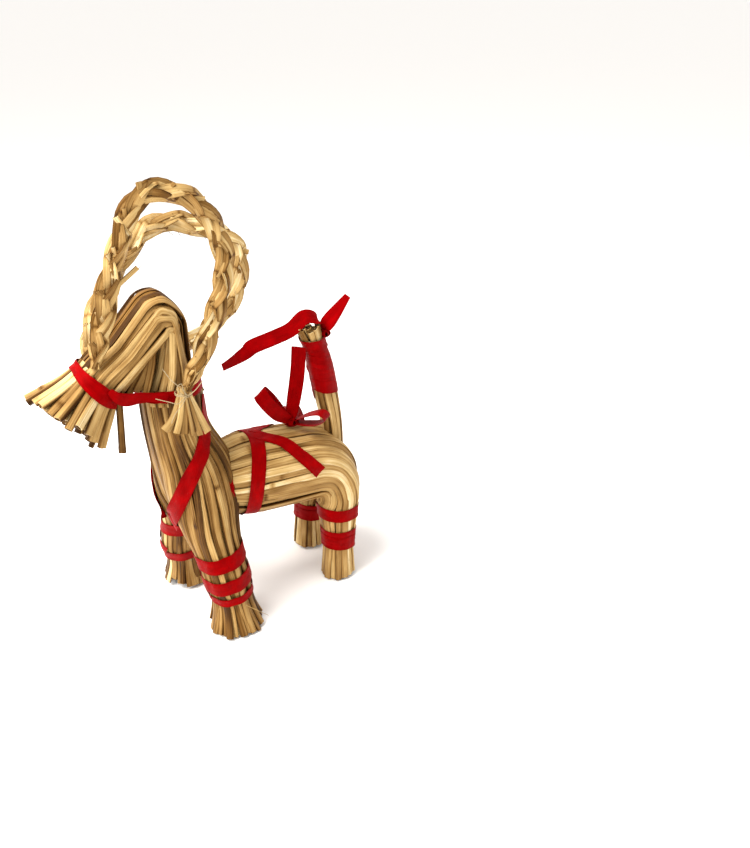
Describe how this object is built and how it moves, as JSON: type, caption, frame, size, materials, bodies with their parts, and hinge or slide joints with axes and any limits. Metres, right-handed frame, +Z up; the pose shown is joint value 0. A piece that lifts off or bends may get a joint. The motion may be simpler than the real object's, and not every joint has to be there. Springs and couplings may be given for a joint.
{
  "type": "straw yule goat",
  "caption": "Standing goat of bound straw sheaves with two arched plaited horns, a flared straw beard, an upright tail and red satin ribbon bindings.",
  "frame": {"origin": "on the surface the goat stands on, at the middle of its bounding box", "axes": "+Z up, -Y the way the goat faces, +X the goat's left side"},
  "size_m": [0.1018, 0.2138, 0.3033],
  "materials": {
    "straw": "dry straw, satin skin with fine lengthwise ribs",
    "plaited_straw": "flattened dry straw, satin",
    "ribbon": "red satin",
    "thread": "natural linen thread"
  },
  "bodies": {
    "root": {"head_fold": "straw", "beard": "straw", "beard_long_straw": "straw", "front_left_leg_sheaf": "straw", "front_right_leg_sheaf": "straw", "body_sheaf": "straw", "hind_left_leg_sheaf": "straw", "hind_right_leg_sheaf": "straw", "tail_sheaf": "straw", "left_horn_strand_1": "plaited_straw", "left_horn_strand_2": "plaited_straw", "left_horn_strand_3": "plaited_straw", "right_horn_strand_1": "plaited_straw", "right_horn_strand_2": "plaited_straw", "right_horn_strand_3": "plaited_straw", "left_horn_tuft": "plaited_straw", "right_horn_tuft": "plaited_straw", "muzzle_ribbon": "ribbon", "neck_ribbon": "ribbon", "chest_ribbon_left": "ribbon", "chest_ribbon_right": "ribbon", "front_left_leg_ribbon": "ribbon", "front_right_leg_ribbon": "ribbon", "hind_left_leg_ribbon": "ribbon", "hind_right_leg_ribbon": "ribbon", "body_ribbon": "ribbon", "body_cross_ribbon_left": "ribbon", "body_cross_ribbon_right": "ribbon", "back_bow_knot": "ribbon", "back_bow_loops": "ribbon", "back_bow_ends": "ribbon", "tail_ribbon": "ribbon", "tail_bow_knot": "ribbon", "tail_bow_ends": "ribbon", "left_horn_tie_thread": "thread", "right_horn_tie_thread": "thread", "muzzle_binding_thread": "thread", "neck_binding_thread": "thread", "front_leg_binding_threads": "thread", "hind_leg_binding_threads": "thread", "body_front_binding_thread": "thread", "body_rear_binding_thread": "thread", "tail_binding_thread": "thread"}
  },
  "joints": []
}
